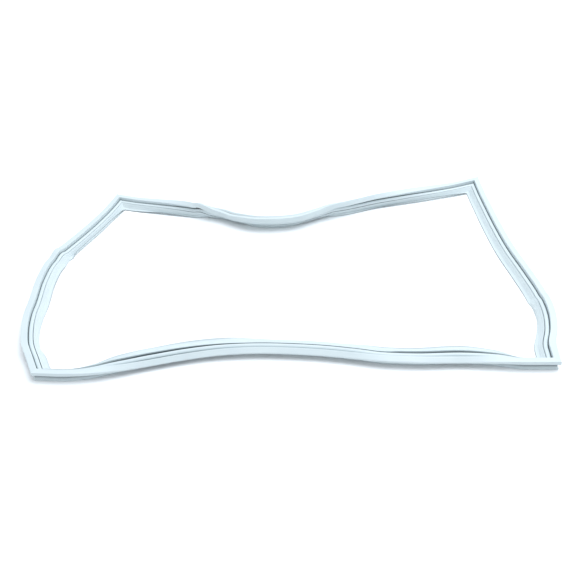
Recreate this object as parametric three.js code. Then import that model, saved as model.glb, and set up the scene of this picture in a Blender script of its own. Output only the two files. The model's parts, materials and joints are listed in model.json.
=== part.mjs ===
// Refrigerator door gasket: four extruded PVC lengths welded at mitred corners, each with a magnet strip.
// Millimetres, +Z up. The loop lies loose on the floor, magnet side up. +X runs along the long front length.
import * as THREE from 'three';

// Section sizes, u measured inward from the outer edge of the magnet pocket, v up from the floor
const HEIGHT = 17;
const POCKET_WIDTH = 10;
const POCKET_WALL = 1;
const EDGE = 0.6;
const SLOT_WIDTH = 1.1;
const SLOT_BOTTOM = 3.6;
const BASE_OUTER = 3.2;
const BASE_INNER = 23.6;
const LIP_TOP = 3.3;
const RECESS = 4.4;
const BASE_FLOOR = 1.5;
const BULB_FLOOR = 1.8;
const BULB_TOP = 11.3;
const SHOULDER = 9.8;
const GROOVE = 17.7;
const GROOVE_WIDTH = 1.2;
const GROOVE_BOTTOM = 6;
const FLAP_ROOT = 3;
const FLAP_TIP = 29.2;
const FLAP_HINGE = [BASE_INNER + 0.2, 2];

// Magnet strip in its pocket
const MAGNET_GAP = 0.3;
const MAGNET_HEIGHT = 3.2;
const MAGNET_END = 0.12;
const pocketFloor = HEIGHT - 2 * (POCKET_WALL + MAGNET_GAP) - MAGNET_HEIGHT;

// Longest step along a length
const STEP = 30;

// Moves the middle of the whole loop to the origin
const CENTRE = [0.02, 4.93];

// Stations along the slot line of each length, counter-clockwise from above:
// x, y, roll in degrees (inner side up), flap bend in degrees (tip up), extra opening of the groove
const FRONT_LEFT = [-367.5, -243, 0, 0, 0];
const FRONT_RIGHT = [386.5, -279, 0, 0, 0];
const BACK_RIGHT = [396, 279, 0, 0, 0];
const BACK_LEFT = [-321, 286, 0, 0, 0];
const FRONT = [
  FRONT_LEFT,
  [-329, -248, 0, 0, 0.8],
  [-287, -249, 12, 0, 2],
  [-244, -244, 36, 0, 2.6],
  [-200, -235, 46, -20, 2.6],
  [-149, -225, 46, 0, 2],
  [-98, -219, 42, 5, 0.8],
  [-48, -219, 38, -40, 0],
  [8, -225, 38, -70, 0],
  [55, -233, 38, -70, 0],
  [98, -243, 36, -45, 0],
  [146, -255, 28, 5, 0.6],
  [172, -259, 28, 8, 2.4],
  [196, -262, 30, 10, 2.6],
  [254, -266, 38, 5, 2.4],
  [306, -271, 22, 0, 1.4],
  [349, -276, 0, 0, 0.2],
  FRONT_RIGHT,
];
const RIGHT = [
  FRONT_RIGHT,
  [391, -243, 0, 0, 0],
  [404.5, -206, 0, -20, 0],
  [412, -168, 0, -65, 0],
  [414, -138, 0, -60, 0],
  [414, -118, 0, -5, 0],
  [408, -50, 0, 0, 0],
  [400, 20, 0, 0, 0],
  [396, 100, 0, 0, 0],
  [395, 175, 0, 0, 0],
  [395, 243, 0, 0, 0],
  BACK_RIGHT,
];
const BACK = [
  BACK_RIGHT,
  [364.8, 268.2, 0, 30, 0],
  [300.5, 245.8, -15, 85, 0],
  [238.2, 226.6, -38, 90, 0],
  [181.5, 210.5, -56, 72, 0],
  [127.1, 187.9, -70, 40, 0],
  [77.9, 170, -84, -60, 0],
  [35.1, 148.2, -90, -20, 0],
  [-17.6, 144, -91, 0, 0],
  [-59, 152.9, -93, -10, 0],
  [-90.1, 173.1, -96, -60, 0],
  [-115.6, 190.4, -90, -80, 0],
  [-140.5, 200, -74, -60, 0],
  [-172.8, 220.1, -46, 60, 0],
  [-218, 242.6, -18, 60, 0],
  [-264.2, 262.5, -4, 20, 0],
  [-290, 272.8, 0, 0, 0],
  BACK_LEFT,
];
const LEFT = [
  BACK_LEFT,
  [-331, 250, 0, 50, 0],
  [-349, 199, 0, 85, 0],
  [-371, 146, -2, 85, 0],
  [-389.5, 105, -5, 70, 0],
  [-399, 83.5, -8, -30, 0],
  [-408, 60, 3, -15, 0],
  [-414, 5, 3, 0, 0],
  [-412, -55, 3, -10, 0],
  [-410, -103, 2, -55, 0],
  [-404, -145, 0, -75, 0],
  [-395, -181, 0, -60, 0],
  [-382, -210, 0, 0, 0],
  FRONT_LEFT,
];

// Outside of the section, counter-clockwise from the underside: base, flap, bulb, slot, pocket, bellows
const slotOuter = POCKET_WIDTH - 0.1;
const slotInner = slotOuter + SLOT_WIDTH;
const OUTSIDE = [
  [BASE_OUTER, 0],
  [BASE_INNER, 0],
  [BASE_INNER + 0.5, 1.1],
  [FLAP_TIP - 0.3, 0.5],
  [FLAP_TIP, 1],
  [FLAP_TIP - 0.4, 1.5],
  [BASE_INNER + 0.6, FLAP_ROOT],
  [GROOVE + 1.8, SHOULDER - 1],
  [GROOVE + 1.1, SHOULDER - 0.2],
  [GROOVE + GROOVE_WIDTH / 2, SHOULDER],
  [GROOVE, GROOVE_BOTTOM],
  [GROOVE - GROOVE_WIDTH / 2, SHOULDER + 0.3],
  [GROOVE - 1.9, BULB_TOP - 0.4],
  [GROOVE - 4.2, BULB_TOP],
  [slotInner + 1.2, BULB_TOP - 0.2],
  [slotInner + 0.3, BULB_TOP - 0.9],
  [slotInner, BULB_TOP - 2.2],
  [slotInner, SLOT_BOTTOM + EDGE],
  [(slotInner + slotOuter) / 2, SLOT_BOTTOM],
  [slotOuter, SLOT_BOTTOM + EDGE],
  [slotOuter, pocketFloor - 0.8],
  [POCKET_WIDTH, pocketFloor],
  [POCKET_WIDTH, HEIGHT - EDGE],
  [POCKET_WIDTH - EDGE, HEIGHT],
  [EDGE, HEIGHT],
  [0, HEIGHT - EDGE],
  [0, pocketFloor + 0.4],
  [0.5, pocketFloor - 0.2],
  [RECESS - 1.4, pocketFloor - 0.8],
  [RECESS - 0.2, pocketFloor - 2.4],
  [RECESS, (pocketFloor + LIP_TOP) / 2],
  [RECESS - 0.4, LIP_TOP + 0.9],
  [BASE_OUTER, LIP_TOP],
  [BASE_OUTER - 0.5, LIP_TOP - 0.6],
  [BASE_OUTER - 0.6, EDGE],
];

// Three open chambers along the length, clockwise: magnet pocket, bellows, bulb
const POCKET_CHAMBER = [
  [POCKET_WALL, pocketFloor + POCKET_WALL],
  [POCKET_WALL, HEIGHT - POCKET_WALL],
  [POCKET_WIDTH - POCKET_WALL, HEIGHT - POCKET_WALL],
  [POCKET_WIDTH - POCKET_WALL, pocketFloor + POCKET_WALL],
];
const BELLOWS_CHAMBER = [
  [BASE_OUTER + 1, BASE_FLOOR],
  [BASE_OUTER + 1.1, LIP_TOP - 0.3],
  [RECESS + 0.6, LIP_TOP + 0.9],
  [RECESS + 0.9, (pocketFloor + LIP_TOP) / 2],
  [RECESS + 0.7, pocketFloor - 1.9],
  [RECESS + 0.1, pocketFloor - 0.1],
  [slotOuter - 0.9, pocketFloor - 0.1],
  [slotOuter - 0.9, BASE_FLOOR],
];
const BULB_CHAMBER = [
  [slotInner + 1, BULB_FLOOR],
  [slotInner + 1, BULB_TOP - 1.9],
  [slotInner + 2.1, BULB_TOP - 1.1],
  [GROOVE - 2.3, BULB_TOP - 1.4],
  [GROOVE - 1.4, SHOULDER - 1.3],
  [GROOVE - 0.9, GROOVE_BOTTOM - 1],
  [GROOVE + 2.4, GROOVE_BOTTOM - 1.2],
  [BASE_INNER - 0.9, 2.5],
  [BASE_INNER - 1.2, BULB_FLOOR],
];

// Magnet strip, counter-clockwise, resting a clearance above the pocket floor
const magnetSide = POCKET_WALL + MAGNET_GAP;
const magnetBottom = pocketFloor + magnetSide;
const MAGNET = [
  [magnetSide, magnetBottom],
  [POCKET_WIDTH - magnetSide, magnetBottom],
  [POCKET_WIDTH - magnetSide, magnetBottom + MAGNET_HEIGHT],
  [magnetSide, magnetBottom + MAGNET_HEIGHT],
];

// Section point after the groove is opened and the flap is bent
function bentPoint(point, flap, opening) {
  const [u, v] = point;
  if (u > FLAP_HINGE[0]) {
    const angle = THREE.MathUtils.degToRad(flap);
    const du = u - FLAP_HINGE[0];
    const dv = v - FLAP_HINGE[1];
    return [
      FLAP_HINGE[0] + du * Math.cos(angle) - dv * Math.sin(angle),
      FLAP_HINGE[1] + du * Math.sin(angle) + dv * Math.cos(angle),
    ];
  }
  if (u > GROOVE) {
    return [u + opening * THREE.MathUtils.clamp((v - FLAP_ROOT) / (SHOULDER - FLAP_ROOT), 0, 1), v];
  }
  return point;
}

// Slope of a smooth curve at station i, from the chords on both sides
function slopes(stations, gaps, i, column) {
  const last = stations.length - 1;
  if (i === 0) {
    return (stations[1][column] - stations[0][column]) / gaps[0];
  }
  if (i === last) {
    return (stations[last][column] - stations[last - 1][column]) / gaps[last - 1];
  }
  const before = (stations[i][column] - stations[i - 1][column]) / gaps[i - 1];
  const after = (stations[i + 1][column] - stations[i][column]) / gaps[i];
  if (column < 2) {
    return (before * gaps[i] + after * gaps[i - 1]) / (gaps[i - 1] + gaps[i]);
  }
  if (before * after <= 0) {
    return 0;
  }
  return (2 * before * after) / (before + after);
}

// Values and plan direction of a length at a share t of the gap after station i
function sample(stations, gaps, i, t) {
  const h = gaps[i];
  const a = (1 + 2 * t) * (1 - t) * (1 - t);
  const b = t * (1 - t) * (1 - t);
  const c = t * t * (3 - 2 * t);
  const d = t * t * (t - 1);
  const values = [];
  const rates = [];
  for (let column = 0; column < stations[0].length; column += 1) {
    const from = stations[i][column];
    const to = stations[i + 1][column];
    const m0 = slopes(stations, gaps, i, column) * h;
    const m1 = slopes(stations, gaps, i + 1, column) * h;
    values.push(a * from + b * m0 + c * to + d * m1);
    rates.push(6 * t * (t - 1) * (from - to) + (1 - t) * (1 - 3 * t) * m0 + t * (3 * t - 2) * m1);
  }
  const along = new THREE.Vector3(rates[0], rates[1], 0).normalize();
  return { values, along };
}

// All samples of one length, from corner to corner
function walk(stations) {
  const gaps = [];
  for (let i = 0; i + 1 < stations.length; i += 1) {
    gaps.push(Math.hypot(stations[i + 1][0] - stations[i][0], stations[i + 1][1] - stations[i][1]));
  }
  const samples = [sample(stations, gaps, 0, 0)];
  for (let i = 0; i < gaps.length; i += 1) {
    const end = i === 0 || i === gaps.length - 1;
    const parts = end ? 1 : Math.max(1, Math.round(gaps[i] / STEP));
    for (let k = 1; k <= parts; k += 1) {
      samples.push(sample(stations, gaps, i, k / parts));
    }
  }
  return samples;
}

// Inward direction in plan, to the left of the way of travel
function inward(along) {
  return new THREE.Vector3(-along.y, along.x, 0);
}

// Ring of section points at a sample, with its lowest point on the floor
function ring(item, points) {
  const [x, y, roll, flap, opening] = item.values;
  const angle = THREE.MathUtils.degToRad(roll);
  const turn = (point) => {
    const [u, v] = bentPoint(point, flap, opening);
    const du = u - POCKET_WIDTH;
    const dv = v - HEIGHT;
    return [du * Math.cos(angle) - dv * Math.sin(angle), du * Math.sin(angle) + dv * Math.cos(angle)];
  };
  const floor = Math.min(...OUTSIDE.map((point) => turn(point)[1]));
  const side = inward(item.along);
  return points.map((point) => {
    const [du, dv] = turn(point);
    return new THREE.Vector3(x, y, dv - floor).addScaledVector(side, du);
  });
}

// Ring in the mitre plane of a corner, shared by the two lengths that meet there
function mitre(corner, alongA, alongB, points) {
  const a = inward(alongA);
  const b = inward(alongB);
  const diagonal = a.clone().add(b).divideScalar(1 + a.dot(b));
  return points.map(([u, v]) => {
    return new THREE.Vector3(corner[0], corner[1], v).addScaledVector(diagonal, u - POCKET_WIDTH);
  });
}

// Closed mesh through a row of rings, with open chambers and flat ends
function skin(rings, outline, holes) {
  const count = rings[0].length;
  const positions = [];
  rings.forEach((points) => points.forEach((p) => positions.push(p.x - CENTRE[0], p.y - CENTRE[1], p.z)));
  const index = [];
  const loops = [outline, ...holes];
  for (let r = 0; r + 1 < rings.length; r += 1) {
    let start = 0;
    loops.forEach((loop, number) => {
      for (let k = 0; k < loop.length; k += 1) {
        const a = r * count + start + k;
        const b = r * count + start + ((k + 1) % loop.length);
        // A chamber's twisted faces are split the same way as those of the strip inside it
        if (number === 0) {
          index.push(a, b, b + count, a, b + count, a + count);
        } else {
          index.push(a, b, a + count, b, b + count, a + count);
        }
      }
      start += loop.length;
    });
  }
  const flat = (loop) => loop.map(([u, v]) => new THREE.Vector2(u, v));
  const ends = THREE.ShapeUtils.triangulateShape(flat(outline), holes.map(flat));
  const far = (rings.length - 1) * count;
  ends.forEach(([a, b, c]) => {
    index.push(a, c, b);
    index.push(far + a, far + b, far + c);
  });
  const geometry = new THREE.BufferGeometry();
  geometry.setAttribute('position', new THREE.Float32BufferAttribute(positions, 3));
  geometry.setIndex(index);
  const split = geometry.toNonIndexed();
  split.computeVertexNormals();
  return split;
}

const pvc = new THREE.MeshStandardMaterial({ color: 0xe9f2f7, roughness: 0.42, metalness: 0 });
const ferrite = new THREE.MeshStandardMaterial({ color: 0x3b3836, roughness: 0.75, metalness: 0 });

// One extruded length between two corners
function profile(name, samples, before, after) {
  const points = [...OUTSIDE, ...POCKET_CHAMBER, ...BELLOWS_CHAMBER, ...BULB_CHAMBER];
  const last = samples.length - 1;
  const rings = [mitre(samples[0].values, before, samples[0].along, points)];
  for (let k = 1; k < last; k += 1) {
    rings.push(ring(samples[k], points));
  }
  rings.push(mitre(samples[last].values, samples[last].along, after, points));
  const mesh = new THREE.Mesh(skin(rings, OUTSIDE, [POCKET_CHAMBER, BELLOWS_CHAMBER, BULB_CHAMBER]), pvc);
  mesh.name = `profile_${name}`;
  return mesh;
}

// Magnet strip of one length, its ends a little short of the mitres
function magnet(name, samples, before, after) {
  const last = samples.length - 1;
  const rings = samples.map((item) => ring(item, MAGNET));
  const first = mitre(samples[0].values, before, samples[0].along, MAGNET);
  const final = mitre(samples[last].values, samples[last].along, after, MAGNET);
  rings[0] = first.map((p, k) => p.lerp(rings[1][k], MAGNET_END));
  rings[last] = final.map((p, k) => p.lerp(rings[last - 1][k], MAGNET_END));
  const mesh = new THREE.Mesh(skin(rings, MAGNET, []), ferrite);
  mesh.name = `magnet_${name}`;
  return mesh;
}

const group = new THREE.Group();
const names = ['front', 'right', 'back', 'left'];
const walks = [FRONT, RIGHT, BACK, LEFT].map(walk);
names.forEach((name, i) => {
  const previous = walks[(i + 3) % 4];
  const before = previous[previous.length - 1].along;
  const after = walks[(i + 1) % 4][0].along;
  group.add(profile(name, walks[i], before, after));
  group.add(magnet(name, walks[i], before, after));
});

export default group;
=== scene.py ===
import json
import math

import bpy
from bpy.props import FloatProperty, FloatVectorProperty, PointerProperty
from mathutils import Euler, Matrix, Vector, noise

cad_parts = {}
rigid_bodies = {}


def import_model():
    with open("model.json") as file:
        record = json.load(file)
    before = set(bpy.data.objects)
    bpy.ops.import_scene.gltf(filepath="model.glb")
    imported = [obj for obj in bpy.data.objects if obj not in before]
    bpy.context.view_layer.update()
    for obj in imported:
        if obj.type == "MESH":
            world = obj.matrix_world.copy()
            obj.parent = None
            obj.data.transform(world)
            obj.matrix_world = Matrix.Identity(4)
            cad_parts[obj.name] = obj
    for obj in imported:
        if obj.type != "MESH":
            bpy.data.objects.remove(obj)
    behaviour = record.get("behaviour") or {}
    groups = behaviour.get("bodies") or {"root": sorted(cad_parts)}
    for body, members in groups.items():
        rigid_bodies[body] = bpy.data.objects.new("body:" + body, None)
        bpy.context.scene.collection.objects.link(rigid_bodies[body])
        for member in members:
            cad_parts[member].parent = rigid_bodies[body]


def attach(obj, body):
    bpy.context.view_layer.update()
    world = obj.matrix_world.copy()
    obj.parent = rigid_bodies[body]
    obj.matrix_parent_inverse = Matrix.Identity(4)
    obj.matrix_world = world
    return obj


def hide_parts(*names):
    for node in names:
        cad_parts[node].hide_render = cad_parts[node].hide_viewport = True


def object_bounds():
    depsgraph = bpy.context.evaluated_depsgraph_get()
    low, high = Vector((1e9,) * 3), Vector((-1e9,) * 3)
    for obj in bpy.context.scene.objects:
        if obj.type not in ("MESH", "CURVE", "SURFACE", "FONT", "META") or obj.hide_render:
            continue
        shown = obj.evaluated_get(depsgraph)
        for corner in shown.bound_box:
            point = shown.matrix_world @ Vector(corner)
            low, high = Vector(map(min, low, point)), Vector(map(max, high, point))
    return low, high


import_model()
CAD_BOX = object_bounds()

bl_info = {
    "name": "Refrigerator door gasket",
    "version": (1, 0, 0),
    "blender": (4, 5, 0),
    "location": "View3D > Sidebar > Gasket",
    "description": "Welded loop of white PVC door gasket with magnet strips, loose on a pale floor",
    "category": "Object",
}

MM = 0.001

# Moves the middle of the whole loop to the origin, in millimetres, as the solids do
CENTRE = (0.02, 4.93)

# Stations along the slot line of each length, counter-clockwise from above, in millimetres and degrees:
# x, y, roll (inner side up), flap bend (tip up), extra opening of the groove
FRONT_LEFT = (-367.5, -243, 0, 0, 0)
FRONT_RIGHT = (386.5, -279, 0, 0, 0)
BACK_RIGHT = (396, 279, 0, 0, 0)
BACK_LEFT = (-321, 286, 0, 0, 0)
FRONT = (
    FRONT_LEFT,
    (-329, -248, 0, 0, 0.8),
    (-287, -249, 12, 0, 2),
    (-244, -244, 36, 0, 2.6),
    (-200, -235, 46, -20, 2.6),
    (-149, -225, 46, 0, 2),
    (-98, -219, 42, 5, 0.8),
    (-48, -219, 38, -40, 0),
    (8, -225, 38, -70, 0),
    (55, -233, 38, -70, 0),
    (98, -243, 36, -45, 0),
    (146, -255, 28, 5, 0.6),
    (172, -259, 28, 8, 2.4),
    (196, -262, 30, 10, 2.6),
    (254, -266, 38, 5, 2.4),
    (306, -271, 22, 0, 1.4),
    (349, -276, 0, 0, 0.2),
    FRONT_RIGHT,
)
RIGHT = (
    FRONT_RIGHT,
    (391, -243, 0, 0, 0),
    (404.5, -206, 0, -20, 0),
    (412, -168, 0, -65, 0),
    (414, -138, 0, -60, 0),
    (414, -118, 0, -5, 0),
    (408, -50, 0, 0, 0),
    (400, 20, 0, 0, 0),
    (396, 100, 0, 0, 0),
    (395, 175, 0, 0, 0),
    (395, 243, 0, 0, 0),
    BACK_RIGHT,
)
BACK = (
    BACK_RIGHT,
    (364.8, 268.2, 0, 30, 0),
    (300.5, 245.8, -15, 85, 0),
    (238.2, 226.6, -38, 90, 0),
    (181.5, 210.5, -56, 72, 0),
    (127.1, 187.9, -70, 40, 0),
    (77.9, 170, -84, -60, 0),
    (35.1, 148.2, -90, -20, 0),
    (-17.6, 144, -91, 0, 0),
    (-59, 152.9, -93, -10, 0),
    (-90.1, 173.1, -96, -60, 0),
    (-115.6, 190.4, -90, -80, 0),
    (-140.5, 200, -74, -60, 0),
    (-172.8, 220.1, -46, 60, 0),
    (-218, 242.6, -18, 60, 0),
    (-264.2, 262.5, -4, 20, 0),
    (-290, 272.8, 0, 0, 0),
    BACK_LEFT,
)
LEFT = (
    BACK_LEFT,
    (-331, 250, 0, 50, 0),
    (-349, 199, 0, 85, 0),
    (-371, 146, -2, 85, 0),
    (-389.5, 105, -5, 70, 0),
    (-399, 83.5, -8, -30, 0),
    (-408, 60, 3, -15, 0),
    (-414, 5, 3, 0, 0),
    (-412, -55, 3, -10, 0),
    (-410, -103, 2, -55, 0),
    (-404, -145, 0, -75, 0),
    (-395, -181, 0, -60, 0),
    (-382, -210, 0, 0, 0),
    FRONT_LEFT,
)
LENGTHS = {"front": FRONT, "right": RIGHT, "back": BACK, "left": LEFT}
ORDER = ("front", "right", "back", "left")
POSITION_COLUMNS = 2

# Stretch beside each corner with no station, so that rings keep clear of the mitre plane, in millimetres
END_CLEAR = 30.0

# Corner points of the section that no property sets
SLOT_BOTTOM = 3.6 * MM
LIP_TOP = 3.3 * MM
HINGE = (0.2 * MM, 2 * MM)
HINGE_LENGTH = 1.2 * MM
OPENING_ROOT = 3 * MM

# Edges sharper than this stay sharp
SHARP_DEGREES = 42

# The soft flap waves by a few degrees over some centimetres, in degrees and millimetres
FLAP_WAVE = 3.0
WAVE_LENGTH = 34.0

# Weld flash: the section swells by this much at each mitre, and the steps from there to the next ring
# give the share of the way and the share of the swelling
WELD_SWELL = 0.25 * MM
WELD_STEPS = ((0.0, 1.0), (0.02, 1.0), (0.035, 0.35), (0.05, 0.0))

# Depth inside the section's hull at which the painted shade is darkest: in the slot, the bellows recess
# and the groove
SLOT_CREVICE = 9 * MM
RECESS_CREVICE = 3.6 * MM
GROOVE_CREVICE = 3.2 * MM

# Share of painted shade along the flap's free edge, standing in for the shade line there
EDGE_SHADE = 0.8

# Camera found from the photograph: the slot lines of opposite lengths come out equally long in it
CAMERA_PLACE = (0.0097, -1.1633, 0.7716)
CAMERA_DOWN = 34.69
CAMERA_ROLL = -3.0
CAMERA_LENS = 50.0
CAMERA_SENSOR = 36.0
CAMERA_REACH = 100.0

# Floor, half its side and how far it lies under the loop, in metres
FLOOR_HALF = 12.0
FLOOR_DROP = 0.05 * MM

# One big softbox above, a little behind and to the right, and a weak even light from all round
SOFTBOX_PLACE = (0.7, 0.45, 2.8)
SOFTBOX_SIZE = (3.4, 3.0)
SOFTBOX_WATTS = 98
ROOM_STRENGTH = 0.85


# Sizes and colours a user would change
class GasketProfile(bpy.types.PropertyGroup):
    height: FloatProperty(
        name="Height",
        description="Height of the profile from its base to the magnet side",
        default=17 * MM,
        unit="LENGTH",
    )
    pocket_width: FloatProperty(
        name="Pocket width",
        description="Width of the magnet pocket, up to the slot beside it",
        default=10 * MM,
        unit="LENGTH",
    )
    pocket_floor: FloatProperty(
        name="Pocket underside",
        description="Height of the underside of the magnet pocket",
        default=11.2 * MM,
        unit="LENGTH",
    )
    slot_width: FloatProperty(
        name="Slot width",
        description="Gap between the magnet pocket and the bulb",
        default=1.1 * MM,
        unit="LENGTH",
    )
    bulb_top: FloatProperty(
        name="Bulb top",
        description="Height of the bulb beside the slot",
        default=11.3 * MM,
        unit="LENGTH",
    )
    shoulder: FloatProperty(
        name="Shoulder",
        description="Height of the bulb's shoulder inside the small groove",
        default=9.8 * MM,
        unit="LENGTH",
    )
    groove: FloatProperty(
        name="Groove",
        description="Distance of the small groove from the outer edge",
        default=17.7 * MM,
        unit="LENGTH",
    )
    groove_width: FloatProperty(
        name="Groove width",
        description="Width of the small groove at its mouth",
        default=1.2 * MM,
        unit="LENGTH",
    )
    groove_bottom: FloatProperty(
        name="Groove bottom",
        description="Height of the bottom of the small groove",
        default=6 * MM,
        unit="LENGTH",
    )
    recess: FloatProperty(
        name="Recess",
        description="Depth of the bellows recess on the outer side",
        default=4.4 * MM,
        unit="LENGTH",
    )
    base_outer: FloatProperty(
        name="Base outer edge",
        description="Distance of the flat base from the outer edge",
        default=3.2 * MM,
        unit="LENGTH",
    )
    base_inner: FloatProperty(
        name="Base inner edge",
        description="Distance of the flap root from the outer edge",
        default=23.6 * MM,
        unit="LENGTH",
    )
    flap_tip: FloatProperty(
        name="Flap tip",
        description="Distance of the flap's free edge from the outer edge",
        default=29.2 * MM,
        unit="LENGTH",
    )


class GasketFinish(bpy.types.PropertyGroup):
    pvc: FloatVectorProperty(
        name="PVC colour",
        description="Colour of the white profile",
        subtype="COLOR",
        size=3,
        default=(0.605, 0.68, 0.685),
    )
    step: FloatProperty(
        name="Station spacing",
        description="Distance between cross-sections along a length",
        default=4 * MM,
        unit="LENGTH",
    )


# Colour from an sRGB hex code to linear values
def linear(code):
    values = []
    for start in (1, 3, 5):
        part = int(code[start:start + 2], 16) / 255
        values.append(part / 12.92 if part <= 0.04045 else ((part + 0.055) / 1.055) ** 2.4)
    return (*values, 1.0)


# Outside of the section, counter-clockwise from the underside, as (inward, up, corner radius) in metres
def section_outline(p):
    slot_outer = p.pocket_width - 0.1 * MM
    slot_inner = slot_outer + p.slot_width
    return [
        (p.base_outer, 0, 0.3 * MM),
        (p.base_inner, 0, 0.3 * MM),
        (p.base_inner + 0.5 * MM, 1.1 * MM, 0.4 * MM),
        (p.flap_tip - 0.5 * MM, 0.5 * MM, 0.3 * MM),
        (p.flap_tip, 0.7 * MM, 0.3 * MM),
        (p.flap_tip, 1.5 * MM, 0.4 * MM),
        (p.flap_tip - 1.1 * MM, 1.9 * MM, 0.3 * MM),
        (p.flap_tip - 1.5 * MM, 1.55 * MM, 0.2 * MM),
        (p.base_inner + 0.6 * MM, 3 * MM, 0.6 * MM),
        (p.base_inner - 1.7 * MM, 5.9 * MM, 0.15 * MM),
        (p.base_inner - 2.3 * MM, 6.1 * MM, 0.15 * MM),
        (p.base_inner - 2.3 * MM, 6.6 * MM, 0.2 * MM),
        (p.groove + 1.8 * MM, p.shoulder - 1 * MM, 0.8 * MM),
        (p.groove + 1.1 * MM, p.shoulder - 0.2 * MM, 0.4 * MM),
        (p.groove + 0.5 * p.groove_width, p.shoulder, 0.25 * MM),
        (p.groove, p.groove_bottom, 0.12 * MM),
        (p.groove - 0.5 * p.groove_width, p.shoulder + 0.3 * MM, 0.25 * MM),
        (p.groove - 1.9 * MM, p.bulb_top - 0.4 * MM, 1 * MM),
        (p.groove - 4.2 * MM, p.bulb_top, 1.5 * MM),
        (slot_inner + 1.2 * MM, p.bulb_top - 0.2 * MM, 0.6 * MM),
        (slot_inner + 0.3 * MM, p.bulb_top - 0.9 * MM, 0.5 * MM),
        (slot_inner, p.bulb_top - 2.2 * MM, 0.5 * MM),
        (slot_inner, SLOT_BOTTOM + 0.6 * MM, 0.3 * MM),
        ((slot_inner + slot_outer) / 2, SLOT_BOTTOM, 0.2 * MM),
        (slot_outer, SLOT_BOTTOM + 0.6 * MM, 0.3 * MM),
        (slot_outer, p.pocket_floor - 0.8 * MM, 0.3 * MM),
        (p.pocket_width, p.pocket_floor, 0.3 * MM),
        (p.pocket_width, p.height, 0.7 * MM),
        (0, p.height, 0.7 * MM),
        (0, p.pocket_floor + 0.4 * MM, 0.3 * MM),
        (0.5 * MM, p.pocket_floor - 0.2 * MM, 0.4 * MM),
        (p.recess - 1.4 * MM, p.pocket_floor - 0.8 * MM, 0.5 * MM),
        (p.recess - 0.2 * MM, p.pocket_floor - 2.4 * MM, 0.7 * MM),
        (p.recess, (p.pocket_floor + LIP_TOP) / 2, 1 * MM),
        (p.recess - 0.4 * MM, LIP_TOP + 0.9 * MM, 0.5 * MM),
        (p.base_outer, LIP_TOP, 0.3 * MM),
        (p.base_outer - 0.5 * MM, LIP_TOP - 0.6 * MM, 0.3 * MM),
        (p.base_outer - 0.6 * MM, 0.6 * MM, 0.4 * MM),
    ]


# The outline with each corner replaced by a short arc
def rounded(corners, arc_steps=2, longest=1.6 * MM):
    points = []
    count = len(corners)
    for i, (u, v, radius) in enumerate(corners):
        corner = Vector((u, v))
        before = Vector(corners[i - 1][:2]) - corner
        after = Vector(corners[(i + 1) % count][:2]) - corner
        reach = min(radius, 0.45 * before.length, 0.45 * after.length)
        start = corner + before.normalized() * reach
        end = corner + after.normalized() * reach
        for k in range(arc_steps + 1):
            t = k / arc_steps
            points.append((1 - t) ** 2 * start + 2 * t * (1 - t) * corner + t * t * end)
    filled = []
    for i, point in enumerate(points):
        following = points[(i + 1) % len(points)]
        filled.append(point)
        gap = (following - point).length
        pieces = math.ceil(gap / longest)
        for k in range(1, pieces):
            filled.append(point.lerp(following, k / pieces))
    return filled


# Section point after the groove is opened and the flap is bent
def bent_point(point, flap, opening, p):
    u, v = point
    hinge_u = p.base_inner + HINGE[0]
    hinge_v = HINGE[1]
    if u > hinge_u:
        angle = math.radians(flap) * min(1.0, (u - hinge_u) / HINGE_LENGTH)
        du = u - hinge_u
        dv = v - hinge_v
        return (
            hinge_u + du * math.cos(angle) - dv * math.sin(angle),
            hinge_v + du * math.sin(angle) + dv * math.cos(angle),
        )
    if u > p.groove + 0.05 * MM:
        share = (v - OPENING_ROOT) / (p.shoulder - OPENING_ROOT)
        return u + opening * MM * min(1.0, max(0.0, share)), v
    return u, v


# Slope of a smooth curve at station i, from the chords on both sides
def slope(stations, gaps, i, column):
    last = len(stations) - 1
    if i == 0:
        return (stations[1][column] - stations[0][column]) / gaps[0]
    if i == last:
        return (stations[last][column] - stations[last - 1][column]) / gaps[last - 1]
    before = (stations[i][column] - stations[i - 1][column]) / gaps[i - 1]
    after = (stations[i + 1][column] - stations[i][column]) / gaps[i]
    if column < POSITION_COLUMNS:
        return (before * gaps[i] + after * gaps[i - 1]) / (gaps[i - 1] + gaps[i])
    if before * after <= 0:
        return 0.0
    return 2 * before * after / (before + after)


# Values and plan direction of a length at a share t of the gap after station i
def sample(stations, gaps, i, t):
    h = gaps[i]
    a = (1 + 2 * t) * (1 - t) ** 2
    b = t * (1 - t) ** 2
    c = t * t * (3 - 2 * t)
    d = t * t * (t - 1)
    values = []
    rates = []
    for column in range(len(stations[0])):
        start = stations[i][column]
        end = stations[i + 1][column]
        m0 = slope(stations, gaps, i, column) * h
        m1 = slope(stations, gaps, i + 1, column) * h
        values.append(a * start + b * m0 + c * end + d * m1)
        rates.append(6 * t * (t - 1) * (start - end) + (1 - t) * (1 - 3 * t) * m0 + t * (3 * t - 2) * m1)
    along = Vector((rates[0], rates[1], 0)).normalized()
    return values, along


# All samples of one length from corner to corner, about a step apart
def walk(stations, step):
    gaps = [math.dist(a[:2], b[:2]) for a, b in zip(stations, stations[1:])]
    samples = [(*sample(stations, gaps, 0, 0), 0.0)]
    travelled = 0.0
    last = len(gaps) - 1
    for i, gap in enumerate(gaps):
        clear = END_CLEAR if i in (0, last) else 0.0
        pieces = max(1, round(gap * MM / step))
        for k in range(1, pieces + 1):
            t = k / pieces
            if i == 0 and t * gap < clear:
                continue
            if i == last and k < pieces and (1 - t) * gap < clear:
                continue
            samples.append((*sample(stations, gaps, i, t), (travelled + t * gap) * MM))
        travelled += gap
    return samples


# Inward direction in plan, to the left of the way of travel
def inward(along):
    return Vector((-along.y, along.x, 0))


# A place in metres from a station's plan place in millimetres
def plan_place(values):
    return Vector(((values[0] - CENTRE[0]) * MM, (values[1] - CENTRE[1]) * MM, 0))


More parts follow.
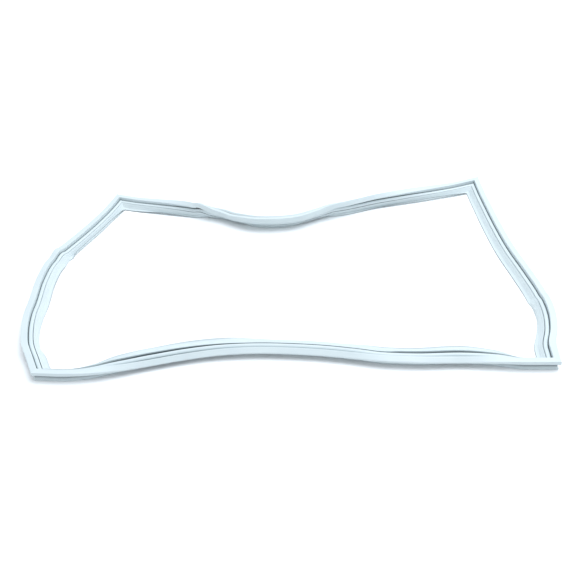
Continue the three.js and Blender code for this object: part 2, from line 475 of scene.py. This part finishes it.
# Ring of section points at a sample, with its lowest point on the floor
def ring(values, along, outline, p, seed):
    roll, flap, opening = values[2:]
    flap += FLAP_WAVE * noise.noise(Vector((values[0], values[1], seed)) / WAVE_LENGTH)
    angle = math.radians(roll)
    cosine = math.cos(angle)
    sine = math.sin(angle)
    turned = []
    for point in outline:
        u, v = bent_point(point, flap, opening, p)
        du = u - p.pocket_width
        dv = v - p.height
        turned.append((du * cosine - dv * sine, du * sine + dv * cosine))
    floor = min(dv for _, dv in turned)
    side = inward(along)
    place = plan_place(values)
    return [place + side * du + Vector((0, 0, dv - floor)) for du, dv in turned]


# Direction of the mitre plane at a corner, from the slot line inward
def mitre_diagonal(along_a, along_b):
    a = inward(along_a)
    b = inward(along_b)
    return (a + b) / (1 + a.dot(b))


# Ring in the mitre plane of a corner, shared by the two lengths that meet there
def mitre(corner, along_a, along_b, outline, p):
    diagonal = mitre_diagonal(along_a, along_b)
    place = plan_place(corner)
    return [place + diagonal * (u - p.pocket_width) + Vector((0, 0, v)) for u, v in outline]


# Outline swollen outward by a distance
def swollen(outline, distance):
    points = []
    for i, point in enumerate(outline):
        chord = outline[(i + 1) % len(outline)] - outline[i - 1]
        points.append(point + Vector((chord.y, -chord.x)).normalized() * distance)
    return points


# Rings from the swollen mitre ring out to the plain section, towards the next ring of the length
def weld(flash, plain, following):
    rings = []
    for share, swell in WELD_STEPS:
        rings.append([
            a.lerp(b, swell).lerp(c, share) for a, b, c in zip(plain, flash, following)
        ])
    return rings


# Twice the area of the triangle a, b, c: above zero where the way from a over b to c turns left
def turn(a, b, c):
    return (b[0] - a[0]) * (c[1] - a[1]) - (b[1] - a[1]) * (c[0] - a[0])


# This depth is the mask of the painted shade in the slot, the groove and the recess
# Depth of each section point inside the straight-sided hull of the section, from 0 to 1 at full depth
def crevices(outline, p):
    order = sorted((point.x, point.y) for point in outline)
    hull = []
    for run in (order, order[::-1]):
        side = []
        for x, y in run:
            while len(side) > 1 and turn(side[-2], side[-1], (x, y)) <= 0:
                side.pop()
            side.append((x, y))
        hull += side[:-1]
    depths = []
    for point in outline:
        reach = []
        for a, b in zip(hull, hull[1:] + hull[:1]):
            along = Vector(b) - Vector(a)
            off = point - Vector(a)
            reach.append((along.x * off.y - along.y * off.x) / along.length)
        deepest = SLOT_CREVICE
        if point.x < p.pocket_width / 2:
            deepest = RECESS_CREVICE
        elif abs(point.x - p.groove) < 1.5 * MM:
            deepest = GROOVE_CREVICE
        # The flap's free edge gets a fixed share of painted shade
        edge = point.x > p.flap_tip - 0.6 * MM
        depths.append(EDGE_SHADE if edge else min(1.0, min(reach) / deepest))
    return depths


# New mesh object from rings of points, kept inside the box of the solids, open at its two ends
def loft(name, rings, distances, outline, p):
    count = len(outline)
    low, high = CAD_BOX
    vertices = []
    for points in rings:
        for point in points:
            vertices.append([min(max(value, a), b) for value, a, b in zip(point, low, high)])
    faces = []
    for r in range(len(rings) - 1):
        for k in range(count):
            n = (k + 1) % count
            faces.append((r * count + k, r * count + n, (r + 1) * count + n, (r + 1) * count + k))
    mesh = bpy.data.meshes.new(name)
    mesh.from_pydata(vertices, [], faces)
    across = [0.0]
    for k in range(count):
        across.append(across[-1] + (outline[(k + 1) % count] - outline[k]).length)
    uv = mesh.uv_layers.new(name="profile")
    index = 0
    for r in range(len(rings) - 1):
        for k in range(count):
            for s, q in ((r, k), (r, k + 1), (r + 1, k + 1), (r + 1, k)):
                uv.data[index].uv = (distances[s], across[q])
                index += 1
    # Amount of painted shade per point, in the crevices and on the flap's free edge, read by the material
    shade_mask = mesh.attributes.new("shade_mask", "FLOAT", "POINT")
    shade_mask.data.foreach_set("value", crevices(outline, p) * len(rings))
    mesh.polygons.foreach_set("use_smooth", [True] * len(mesh.polygons))
    mesh.set_sharp_from_angle(angle=math.radians(SHARP_DEGREES))
    mesh.update()
    piece = bpy.data.objects.new(name, mesh)
    bpy.context.scene.collection.objects.link(piece)
    return piece


# One node with its settings and links
def add_node(tree, kind, settings=None, **inputs):
    node = tree.nodes.new(kind)
    for key, value in (settings or {}).items():
        setattr(node, key, value)
    for key, value in inputs.items():
        number = key[1:]
        socket = node.inputs[int(number) if number.isdigit() else key.replace("_", " ")]
        if isinstance(value, bpy.types.NodeSocket):
            tree.links.new(value, socket)
        else:
            socket.default_value = value
    return node


# White plasticised PVC, extruded through a steel die: a satin skin with faint lines along its length and
# a little light passing into it. The slot, the groove and the recess are painted a cool dark shade,
# darkest at their bottoms, and the flap's free edge some of it. The colour is set for the stage's strong
# lights, so it is darker than the real PVC.
def extruded_pvc():
    material = bpy.data.materials.new("extruded_white_pvc")
    material.use_nodes = True
    tree = material.node_tree
    tree.nodes.clear()
    place = add_node(tree, "ShaderNodeUVMap", {"uv_map": "profile"})
    # Die lines 0.6 mm apart across the profile and running some 150 mm along it
    die_scale = add_node(
        tree, "ShaderNodeMapping",
        Vector=place.outputs["UV"], Scale=(1 / (150 * MM), 1 / (0.6 * MM), 1),
    )
    die = add_node(tree, "ShaderNodeTexNoise", Vector=die_scale.outputs["Vector"], Scale=1.0, Detail=2.0)
    # Patches of handling and bloom about 40 mm long and 12 mm wide
    patch_scale = add_node(
        tree, "ShaderNodeMapping",
        Vector=place.outputs["UV"], Scale=(1 / (40 * MM), 1 / (12 * MM), 1),
    )
    patch = add_node(
        tree, "ShaderNodeTexNoise",
        Vector=patch_scale.outputs["Vector"], Scale=1.0, Detail=3.0,
    )
    clean = (*bpy.context.scene.gasket_finish.pvc, 1.0)
    tint = add_node(
        tree, "ShaderNodeMix", {"data_type": "RGBA"},
        i0=patch.outputs["Fac"], i6=clean, i7=linear("#c2cdd1"),
    )
    # Painted shade starts half way into a crevice and is darkest at its bottom
    shade_mask = add_node(tree, "ShaderNodeAttribute", {"attribute_name": "shade_mask"})
    painted_shade = add_node(
        tree, "ShaderNodeMapRange",
        Value=shade_mask.outputs["Fac"], From_Min=0.5, From_Max=1.0, To_Min=0.0, To_Max=0.95,
    )
    # The painted shade colour #2f3a42 mixed over the PVC by depth
    shaded_colour = add_node(
        tree, "ShaderNodeMix", {"data_type": "RGBA"},
        i0=painted_shade.outputs["Result"], i6=tint.outputs[2], i7=linear("#2f3a42"),
    )
    rough = add_node(
        tree, "ShaderNodeMapRange",
        Value=patch.outputs["Fac"], To_Min=0.36, To_Max=0.5,
    )
    bump = add_node(
        tree, "ShaderNodeBump",
        Strength=0.25, Distance=0.05 * MM, Height=die.outputs["Fac"],
    )
    shader = add_node(
        tree, "ShaderNodeBsdfPrincipled",
        Base_Color=shaded_colour.outputs[2], Roughness=rough.outputs["Result"], Normal=bump.outputs["Normal"],
    )
    shader.inputs["IOR"].default_value = 1.53
    shader.inputs["Subsurface Weight"].default_value = 0.05
    shader.inputs["Subsurface Radius"].default_value = (1.0, 1.0, 1.0)
    shader.inputs["Subsurface Scale"].default_value = 0.5 * MM
    add_node(tree, "ShaderNodeOutputMaterial", Surface=shader.outputs["BSDF"])
    return material


# Flexible ferrite strip: magnetic powder in rubber, rolled, so a dull dark grey with a fine grain
def ferrite_strip():
    material = bpy.data.materials.new("flexible_ferrite_strip")
    material.use_nodes = True
    tree = material.node_tree
    tree.nodes.clear()
    place = add_node(tree, "ShaderNodeTexCoord")
    # Powder grain drawn 0.5 mm across, coarser than the real grain so that it shows
    grain = add_node(
        tree, "ShaderNodeTexNoise",
        Vector=place.outputs["Object"], Scale=1 / (0.5 * MM), Detail=2.0,
    )
    tint = add_node(
        tree, "ShaderNodeMix", {"data_type": "RGBA"},
        i0=grain.outputs["Fac"], i6=linear("#34312f"), i7=linear("#484441"),
    )
    bump = add_node(tree, "ShaderNodeBump", Strength=0.3, Distance=0.05 * MM, Height=grain.outputs["Fac"])
    shader = add_node(
        tree, "ShaderNodeBsdfPrincipled",
        Base_Color=tint.outputs[2], Roughness=0.75, Normal=bump.outputs["Normal"],
    )
    add_node(tree, "ShaderNodeOutputMaterial", Surface=shader.outputs["BSDF"])
    return material


# Matte white paper sweep: no grain visible, only a very faint unevenness
def paper_floor():
    material = bpy.data.materials.new("white_paper_floor")
    material.use_nodes = True
    tree = material.node_tree
    tree.nodes.clear()
    place = add_node(tree, "ShaderNodeTexCoord")
    cloud = add_node(tree, "ShaderNodeTexNoise", Vector=place.outputs["Object"], Scale=1.5, Detail=2.0)
    tint = add_node(
        tree, "ShaderNodeMix", {"data_type": "RGBA"},
        i0=cloud.outputs["Fac"], i6=linear("#f7f8f9"), i7=linear("#fafbfb"),
    )
    shader = add_node(tree, "ShaderNodeBsdfPrincipled", Base_Color=tint.outputs[2], Roughness=0.9)
    add_node(tree, "ShaderNodeOutputMaterial", Surface=shader.outputs["BSDF"])
    return material


# The material of that name, made once
def finish(name, make):
    return bpy.data.materials.get(name) or make()


# Samples of the four lengths, by name
def all_walks(step):
    return {name: walk(LENGTHS[name], step) for name in ORDER}


class GASKET_OT_profiles(bpy.types.Operator):
    """Make the four extruded lengths, mitred at their shared corners"""
    bl_idname = "gasket.profiles"
    bl_label = "Profile lengths"

    def execute(self, context):
        p = context.scene.gasket_profile
        outline = rounded(section_outline(p))
        flash_outline = swollen(outline, WELD_SWELL)
        walks = all_walks(context.scene.gasket_finish.step)
        material = finish("extruded_white_pvc", extruded_pvc)
        for number, name in enumerate(ORDER):
            samples = walks[name]
            before = walks[ORDER[number - 1]][-1][1]
            after = walks[ORDER[(number + 1) % 4]][0][1]
            body = [ring(values, along, outline, p, number) for values, along, _ in samples[1:-1]]
            ends = []
            for item, pair, following in (
                (samples[0], (before, samples[0][1]), body[0]),
                (samples[-1], (samples[-1][1], after), body[-1]),
            ):
                plain = mitre(item[0], *pair, outline, p)
                flash = mitre(item[0], *pair, flash_outline, p)
                ends.append(weld(flash, plain, following))
            rings = [*ends[0], *body, *ends[1][::-1]]
            first, last = samples[1][2], samples[-1][2] - samples[-2][2]
            distances = [share * first for share, _ in WELD_STEPS]
            distances += [distance for _, _, distance in samples[1:-1]]
            distances += [samples[-1][2] - share * last for share, _ in WELD_STEPS[::-1]]
            piece = loft(f"profile_skin_{name}", rings, distances, outline, p)
            piece.data.materials.append(material)
            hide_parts(f"profile_{name}")
            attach(piece, "root")
        return {"FINISHED"}


class GASKET_OT_magnets(bpy.types.Operator):
    """Give the magnet strips inside the pockets their finish"""
    bl_idname = "gasket.magnets"
    bl_label = "Magnet strips"

    def execute(self, context):
        material = finish("flexible_ferrite_strip", ferrite_strip)
        for name in ORDER:
            strip = bpy.data.objects[f"magnet_{name}"]
            strip.data.materials.clear()
            strip.data.materials.append(material)
        return {"FINISHED"}


class GASKET_OT_stage(bpy.types.Operator):
    """Lay the pale floor, set the soft lights and place the camera"""
    bl_idname = "gasket.stage"
    bl_label = "Floor, lights and camera"

    def execute(self, context):
        scene = context.scene
        mesh = bpy.data.meshes.new("floor")
        turns = ((-1, -1), (1, -1), (1, 1), (-1, 1))
        corners = [(x * FLOOR_HALF, y * FLOOR_HALF, 0) for x, y in turns]
        mesh.from_pydata(corners, [], [(0, 1, 2, 3)])
        floor = bpy.data.objects.new("floor", mesh)
        floor.location.z = -FLOOR_DROP
        mesh.materials.append(finish("white_paper_floor", paper_floor))
        scene.collection.objects.link(floor)
        world = bpy.data.worlds.new("studio")
        world.use_nodes = True
        backdrop = world.node_tree.nodes["Background"]
        backdrop.inputs["Color"].default_value = linear("#eef4fa")
        backdrop.inputs["Strength"].default_value = ROOM_STRENGTH
        scene.world = world
        lamp = bpy.data.lights.new("overhead_softbox", "AREA")
        lamp.shape = "RECTANGLE"
        lamp.size, lamp.size_y = SOFTBOX_SIZE
        lamp.energy = SOFTBOX_WATTS
        lamp.color = linear("#f4f9ff")[:3]
        softbox = bpy.data.objects.new("overhead_softbox", lamp)
        softbox.location = SOFTBOX_PLACE
        softbox.rotation_euler = (Vector((0, 0, 0)) - softbox.location).to_track_quat("-Z", "Y").to_euler()
        scene.collection.objects.link(softbox)
        camera = bpy.data.cameras.new("camera")
        camera.lens = CAMERA_LENS
        camera.sensor_width = CAMERA_SENSOR
        camera.clip_end = CAMERA_REACH
        viewer = bpy.data.objects.new("camera", camera)
        tilt = Euler((math.radians(90 - CAMERA_DOWN), 0, 0)).to_matrix()
        turn = Matrix.Rotation(math.radians(CAMERA_ROLL), 3, "Z")
        viewer.matrix_world = Matrix.Translation(CAMERA_PLACE) @ (tilt @ turn).to_4x4()
        scene.collection.objects.link(viewer)
        scene.camera = viewer
        scene.view_settings.view_transform = "Standard"
        return {"FINISHED"}


class GASKET_PT_panel(bpy.types.Panel):
    """Gasket sizes and the steps that make it"""
    bl_label = "Door gasket"
    bl_idname = "GASKET_PT_panel"
    bl_space_type = "VIEW_3D"
    bl_region_type = "UI"
    bl_category = "Gasket"

    def draw(self, context):
        layout = self.layout
        for group in (context.scene.gasket_profile, context.scene.gasket_finish):
            for name in group.__annotations__:
                layout.prop(group, name)
        for operator in OPERATORS:
            layout.operator(operator.bl_idname)


OPERATORS = (GASKET_OT_profiles, GASKET_OT_magnets, GASKET_OT_stage)
CLASSES = (GasketProfile, GasketFinish, *OPERATORS, GASKET_PT_panel)


def register():
    for cls in CLASSES:
        bpy.utils.register_class(cls)
    bpy.types.Scene.gasket_profile = PointerProperty(type=GasketProfile)
    bpy.types.Scene.gasket_finish = PointerProperty(type=GasketFinish)


def unregister():
    del bpy.types.Scene.gasket_finish
    del bpy.types.Scene.gasket_profile
    for cls in reversed(CLASSES):
        bpy.utils.unregister_class(cls)


def main():
    register()
    bpy.ops.gasket.profiles()
    bpy.ops.gasket.magnets()
    bpy.ops.gasket.stage()


if __name__ == "__main__":
    main()
